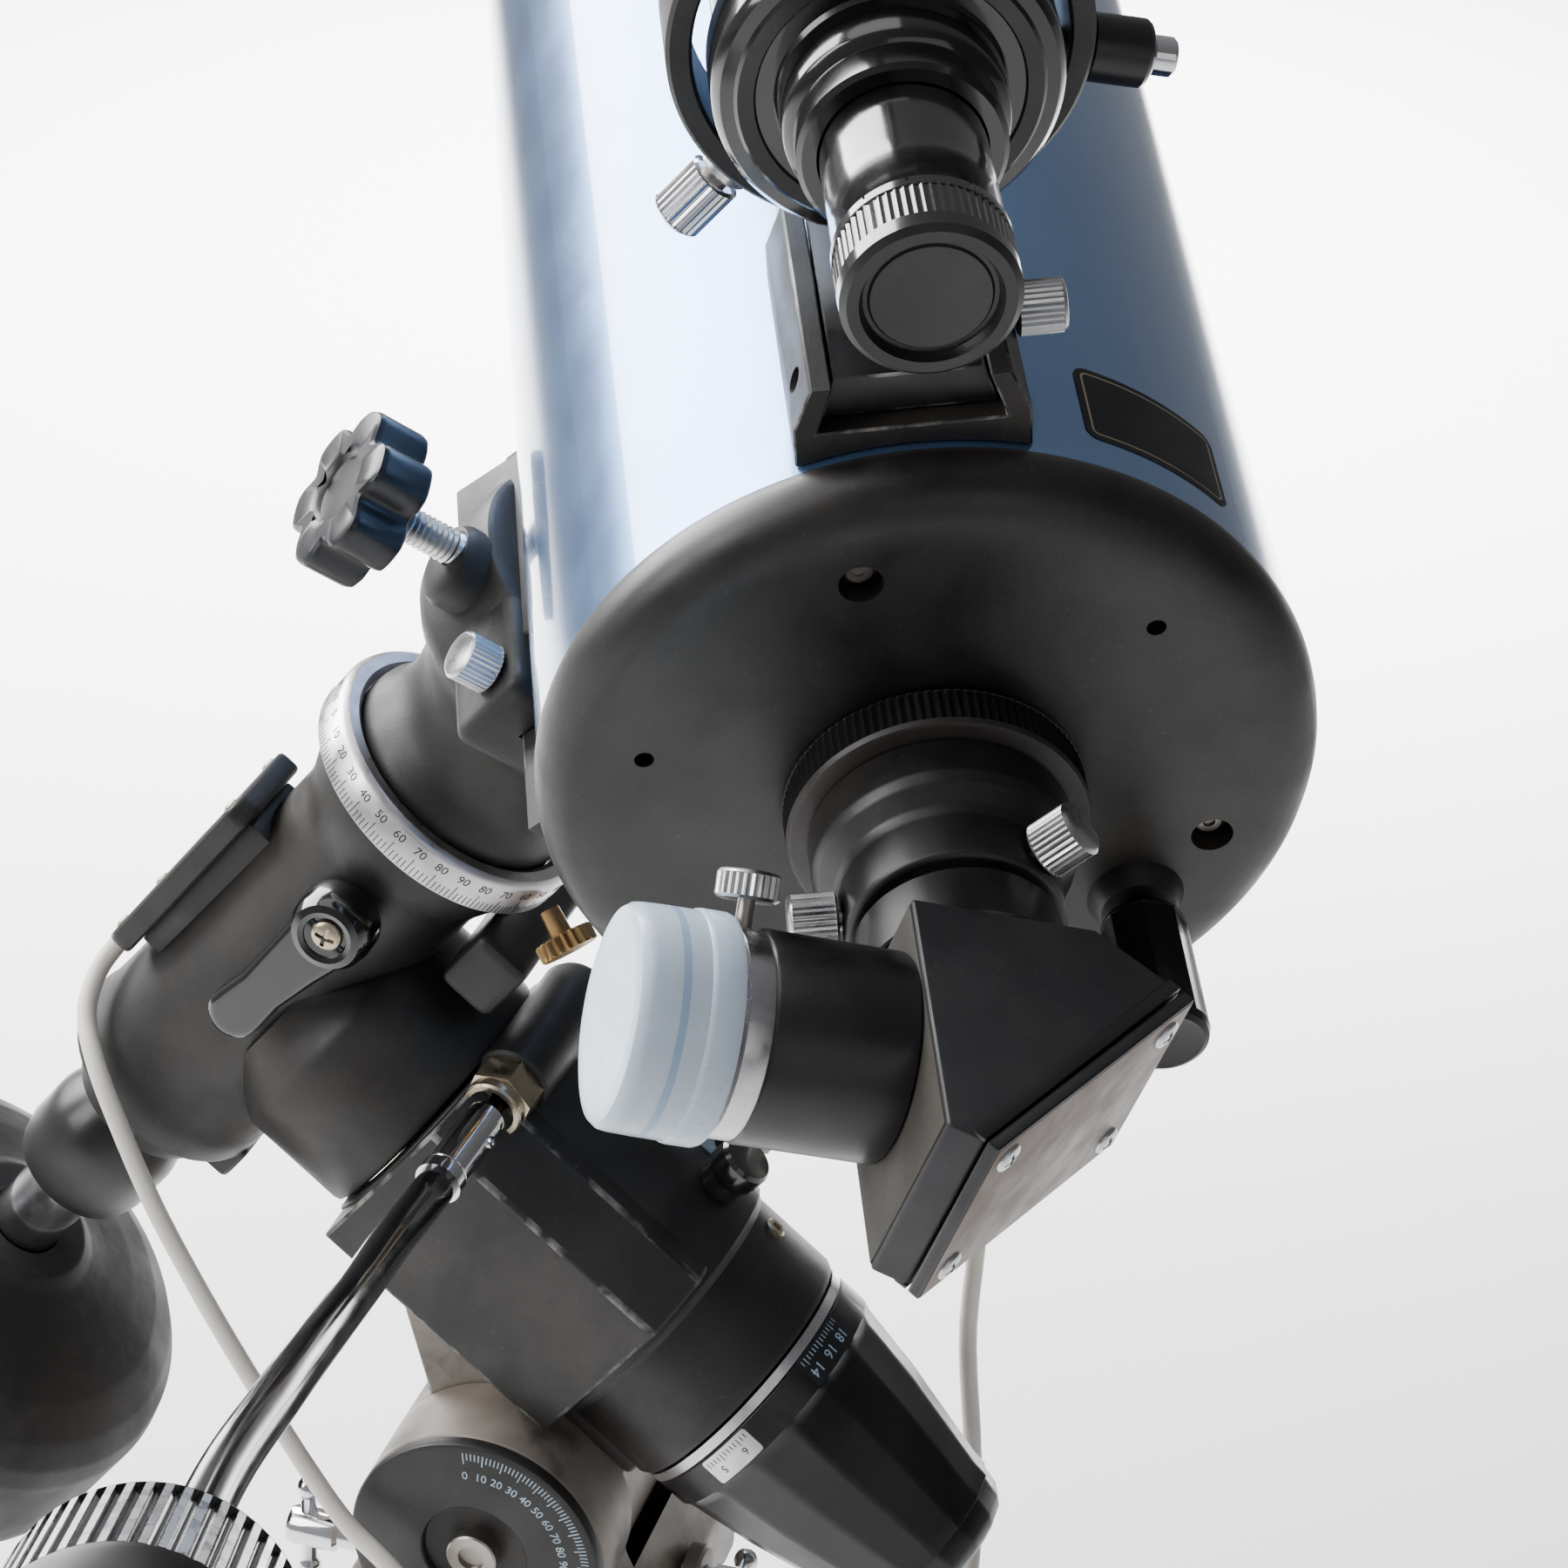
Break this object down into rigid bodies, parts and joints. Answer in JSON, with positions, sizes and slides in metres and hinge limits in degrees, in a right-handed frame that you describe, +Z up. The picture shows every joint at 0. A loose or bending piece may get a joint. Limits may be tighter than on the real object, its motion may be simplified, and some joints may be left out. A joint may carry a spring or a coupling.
{
  "type": "catadioptric telescope on equatorial mount head",
  "caption": "Short blue tube with rear focusing, star diagonal and finder on a tilting equatorial mount head with counterweight and slow-motion shaft.",
  "frame": {"origin": "centre of the round face that sits on the tripod head", "axes": "+Z up; +Y towards the pole, level; +X east; the polar axis rises 38 degrees from +Y"},
  "size_m": [0.5786, 0.4459, 0.5969],
  "materials": {
    "azimuth_base": "grey-beige cast paint",
    "azimuth_knob_east": "black, ribbed",
    "azimuth_knob_west": "black, ribbed",
    "azimuth_plate": "black powder coat, satin",
    "corrector_lens": "polished meniscus",
    "counterweight": "matt black paint",
    "counterweight_screw": "satin silver",
    "counterweight_shaft": "polished chrome",
    "declination_circle": "satin",
    "declination_clamp_lever": "glossy black",
    "declination_housing": "black powder coat on casting",
    "declination_motor_box": "glossy black",
    "diagonal_back_plate": "bronze brown anodised",
    "diagonal_housing": "matt blue-grey black",
    "diagonal_mirror": "aluminised glass",
    "diagonal_nose": "polished chrome",
    "dovetail_bar": "black anodised, satin",
    "dust_cap": "milky translucent",
    "eyepiece_holder": "black anodised, satin",
    "finder_bracket": "black anodised, satin",
    "finder_eyepiece": "black, ribbed",
    "finder_lens": "polished",
    "finder_objective_cell": "black anodised, satin",
    "finder_plunger": "black anodised, satin",
    "finder_rear_cell": "black anodised, satin",
    "finder_screw_1": "satin silver",
    "finder_screw_2": "satin silver",
    "finder_shoe": "black anodised, satin",
    "finder_tube": "metallic light blue gloss paint",
    "focus_knob": "ribbed black",
    "front_cell": "black anodised, satin",
    "holder_screw": "satin silver",
    "latitude_axle": "satin silver",
    "latitude_bolt_north": "polished chrome",
    "latitude_bolt_south": "polished chrome",
    "latitude_scale_cap": "black, ribbed",
    "lock_ring": "black anodised, satin",
    "main_tube": "metallic blue gloss paint",
    "motor_lead": "off-white jacket",
    "polar_cap": "black, ribbed",
    "polar_circle": "satin",
    "polar_clamp_lever": "black, ribbed",
    "polar_housing": "black powder coat on casting",
    "polar_shaft": "satin silver",
    "polar_worm": "polished chrome",
    "polar_worm_wheel": "machined",
    "primary_baffle": "black anodised, satin",
    "primary_mirror": "aluminised glass",
    "rear_cell": "black anodised, satin",
    "saddle": "black anodised, satin",
    "saddle_knob": "black, ribbed",
    "saddle_screw": "satin silver",
    "shaft_collar": "black anodised, satin",
    "shoe_screw": "satin silver",
    "slow_motion_knob": "black, ribbed",
    "slow_motion_shaft": "glossy black sleeve",
    "visual_back": "black anodised, satin",
    "visual_back_screw_1": "satin silver",
    "visual_back_screw_2": "satin silver"
  },
  "bodies": {
    "tripod_plate": {"azimuth_plate": "azimuth_plate"},
    "azimuth_head": {"azimuth_base": "azimuth_base", "latitude_axle": "latitude_axle", "latitude_scale_cap": "latitude_scale_cap", "latitude_bolt_south": "latitude_bolt_south"},
    "azimuth_knob_west": {"azimuth_knob_west": "azimuth_knob_west"},
    "azimuth_knob_east": {"azimuth_knob_east": "azimuth_knob_east"},
    "latitude_screw": {"latitude_bolt_north": "latitude_bolt_north"},
    "polar_head": {"polar_housing": "polar_housing", "slow_motion_shaft": "slow_motion_shaft", "motor_lead": "motor_lead"},
    "polar_dial": {"polar_circle": "polar_circle"},
    "polar_cap": {"polar_cap": "polar_cap"},
    "polar_lever": {"polar_clamp_lever": "polar_clamp_lever"},
    "worm": {"polar_worm": "polar_worm"},
    "worm_wheel": {"polar_worm_wheel": "polar_worm_wheel"},
    "slow_motion_grip": {"slow_motion_knob": "slow_motion_knob"},
    "declination_head": {"declination_housing": "declination_housing", "polar_shaft": "polar_shaft", "declination_motor_box": "declination_motor_box", "shaft_collar": "shaft_collar", "counterweight_shaft": "counterweight_shaft"},
    "counterweight": {"counterweight": "counterweight"},
    "counterweight_screw": {"counterweight_screw": "counterweight_screw"},
    "declination_lever": {"declination_clamp_lever": "declination_clamp_lever"},
    "declination_dial": {"declination_circle": "declination_circle"},
    "telescope": {"saddle": "saddle", "dovetail_bar": "dovetail_bar", "main_tube": "main_tube", "rear_cell": "rear_cell", "primary_baffle": "primary_baffle", "front_cell": "front_cell", "corrector_lens": "corrector_lens", "visual_back": "visual_back", "finder_shoe": "finder_shoe", "finder_bracket": "finder_bracket", "finder_tube": "finder_tube", "finder_rear_cell": "finder_rear_cell", "finder_objective_cell": "finder_objective_cell", "finder_lens": "finder_lens"},
    "saddle_knob": {"saddle_knob": "saddle_knob"},
    "saddle_screw": {"saddle_screw": "saddle_screw"},
    "lock_ring": {"lock_ring": "lock_ring"},
    "focus_knob": {"focus_knob": "focus_knob"},
    "mirror_carriage": {"primary_mirror": "primary_mirror"},
    "visual_back_screw_1": {"visual_back_screw_1": "visual_back_screw_1"},
    "visual_back_screw_2": {"visual_back_screw_2": "visual_back_screw_2"},
    "diagonal": {"diagonal_nose": "diagonal_nose", "diagonal_housing": "diagonal_housing", "diagonal_back_plate": "diagonal_back_plate", "diagonal_mirror": "diagonal_mirror", "eyepiece_holder": "eyepiece_holder"},
    "holder_screw": {"holder_screw": "holder_screw"},
    "dust_cap": {"dust_cap": "dust_cap"},
    "shoe_screw": {"shoe_screw": "shoe_screw"},
    "finder_screw_1": {"finder_screw_1": "finder_screw_1"},
    "finder_screw_2": {"finder_screw_2": "finder_screw_2"},
    "finder_plunger": {"finder_plunger": "finder_plunger"},
    "finder_eyepiece": {"finder_eyepiece": "finder_eyepiece"}
  },
  "joints": [
    {"name": "azimuth_turn", "type": "hinge", "parent": "tripod_plate", "child": "azimuth_head", "pos_m": [0, 0, 0.008], "axis": [0, 0, 1], "range_deg": [-10, 10]},
    {"name": "azimuth_knob_west_turn", "type": "hinge", "parent": "azimuth_head", "child": "azimuth_knob_west", "pos_m": [-0.05, 0.026, 0.02], "axis": [-1, 0, 0], "range_deg": [-360, 360]},
    {"name": "azimuth_knob_east_turn", "type": "hinge", "parent": "azimuth_head", "child": "azimuth_knob_east", "pos_m": [0.05, 0.026, 0.02], "axis": [1, 0, 0], "range_deg": [-360, 360]},
    {"name": "latitude_tilt", "type": "hinge", "parent": "azimuth_head", "child": "polar_head", "pos_m": [0, 0, 0.062], "axis": [1, 0, 0], "range_deg": [-15, 14]},
    {"name": "latitude_screw_travel", "type": "slide", "parent": "azimuth_head", "child": "latitude_screw", "axis": [0, 1, 0], "range_m": [-0.01, 0.0095]},
    {"name": "polar_dial_turn", "type": "hinge", "parent": "polar_head", "child": "polar_dial", "pos_m": [0, -0.05086, 0.0951], "axis": [0, 0.788, 0.6157], "continuous": true},
    {"name": "polar_cap_turn", "type": "hinge", "parent": "polar_head", "child": "polar_cap", "pos_m": [0, -0.07608, 0.0754], "axis": [0, 0.788, 0.6157], "continuous": true},
    {"name": "polar_clamp", "type": "hinge", "parent": "polar_head", "child": "polar_lever", "pos_m": [0, -0.04554, 0.15002], "axis": [0, -0.6157, 0.788], "range_deg": [-60, 30]},
    {"name": "slow_motion_turn", "type": "hinge", "parent": "polar_head", "child": "slow_motion_grip", "pos_m": [-0.32341, -0.04924, 0.26974], "axis": [-0.9066, -0.2508, 0.3395], "continuous": true},
    {"name": "worm_turn", "type": "hinge", "parent": "polar_head", "child": "worm", "pos_m": [0, 0.00053, 0.17713], "axis": [-0.9848, 0.1069, -0.1368], "continuous": true},
    {"name": "worm_wheel_turn", "type": "hinge", "parent": "polar_head", "child": "worm_wheel", "pos_m": [0, 0.02085, 0.15113], "axis": [0, 0.788, 0.6157], "continuous": true},
    {"name": "polar_turn", "type": "hinge", "parent": "polar_head", "child": "declination_head", "pos_m": [0, 0.06576, 0.18622], "axis": [0, 0.788, 0.6157], "range_deg": [-8, 80], "deforming": ["motor_lead"]},
    {"name": "counterweight_travel", "type": "slide", "parent": "declination_head", "child": "counterweight", "axis": [0, -0.6157, 0.788], "range_m": [-0.12, 0.021]},
    {"name": "counterweight_clamp", "type": "hinge", "parent": "counterweight", "child": "counterweight_screw", "pos_m": [0, 0.20847, 0.10102], "axis": [0, 0.788, 0.6157], "range_deg": [-360, 360]},
    {"name": "declination_clamp", "type": "hinge", "parent": "declination_head", "child": "declination_lever", "pos_m": [-0.031, 0.04018, 0.21572], "axis": [-1, 0, 0], "range_deg": [-30, 5]},
    {"name": "declination_dial_turn", "type": "hinge", "parent": "telescope", "child": "declination_dial", "pos_m": [0, 0.02328, 0.24059], "axis": [0, -0.6157, 0.788], "continuous": true},
    {"name": "declination_turn", "type": "hinge", "parent": "declination_head", "child": "telescope", "pos_m": [0, 0.0042, 0.26502], "axis": [0, -0.6157, 0.788], "continuous": true},
    {"name": "saddle_knob_turn", "type": "hinge", "parent": "telescope", "child": "saddle_knob", "pos_m": [-0.03194, 0.02718, 0.31851], "axis": [-0.4582, 0.7004, 0.5472], "range_deg": [-360, 360]},
    {"name": "saddle_screw_turn", "type": "hinge", "parent": "telescope", "child": "saddle_screw", "pos_m": [-0.05122, 0.00223, 0.29775], "axis": [-0.4582, 0.7004, 0.5472], "range_deg": [-360, 360]},
    {"name": "lock_ring_turn", "type": "hinge", "parent": "telescope", "child": "lock_ring", "pos_m": [-0.11964, -0.11397, 0.3161], "axis": [0.8889, 0.3611, 0.2821], "range_deg": [-90, 90]},
    {"name": "focus_turn", "type": "hinge", "parent": "telescope", "child": "focus_knob", "pos_m": [-0.08208, -0.14339, 0.29566], "axis": [0.8889, 0.3611, 0.2821], "range_deg": [-3600, 3600]},
    {"name": "mirror_travel", "type": "slide", "parent": "telescope", "child": "mirror_carriage", "axis": [0.8889, 0.3611, 0.2821], "range_m": [-0.0051, 0.0051]},
    {"name": "visual_back_screw_1_turn", "type": "hinge", "parent": "telescope", "child": "visual_back_screw_1", "pos_m": [-0.13951, -0.14029, 0.32553], "axis": [0.0796, -0.7279, 0.681], "range_deg": [-360, 360]},
    {"name": "visual_back_screw_2_turn", "type": "hinge", "parent": "telescope", "child": "visual_back_screw_2", "pos_m": [-0.14984, -0.10044, 0.30709], "axis": [-0.351, 0.9323, -0.0873], "range_deg": [-360, 360]},
    {"name": "diagonal_turn", "type": "hinge", "parent": "telescope", "child": "diagonal", "pos_m": [-0.14897, -0.12589, 0.30679], "axis": [0.8889, 0.3611, 0.2821], "continuous": true},
    {"name": "holder_screw_turn", "type": "hinge", "parent": "diagonal", "child": "holder_screw", "pos_m": [-0.18027, -0.09566, 0.33151], "axis": [0.5527, 0.0476, 0.832], "range_deg": [-360, 360]},
    {"name": "dust_cap_pull", "type": "slide", "parent": "diagonal", "child": "dust_cap", "axis": [-0.4289, 0.8723, 0.235], "range_m": [0, 0.03]},
    {"name": "shoe_screw_turn", "type": "hinge", "parent": "telescope", "child": "shoe_screw", "pos_m": [-0.09759, -0.12086, 0.40786], "axis": [0.3405, -0.9325, 0.1206], "range_deg": [-360, 360]},
    {"name": "finder_screw_1_turn", "type": "hinge", "parent": "telescope", "child": "finder_screw_1", "pos_m": [-0.12407, -0.07949, 0.49862], "axis": [-0.3843, 0.2521, 0.8881], "range_deg": [-360, 360]},
    {"name": "finder_screw_2_turn", "type": "hinge", "parent": "telescope", "child": "finder_screw_2", "pos_m": [-0.10786, -0.06152, 0.42454], "axis": [-0.024, 0.6515, -0.7583], "range_deg": [-360, 360]},
    {"name": "finder_plunger_travel", "type": "slide", "parent": "telescope", "child": "finder_plunger", "axis": [0.4082, -0.9036, -0.1298], "range_m": [0, 0.003], "stiffness_N_per_m": 600},
    {"name": "finder_focus_travel", "type": "slide", "parent": "telescope", "child": "finder_eyepiece", "axis": [0.8889, 0.3611, 0.2821], "range_m": [-0.006, 0.004]}
  ],
  "couplings": [
    {"joint": "latitude_screw_travel", "follows": "latitude_tilt", "m_per_rad": 0.0376},
    {"joint": "mirror_travel", "follows": "focus_turn", "m_per_rad": 0.00008},
    {"joint": "worm_turn", "follows": "slow_motion_turn", "ratio": 1},
    {"joint": "worm_wheel_turn", "follows": "slow_motion_turn", "ratio": 0.0076923}
  ]
}
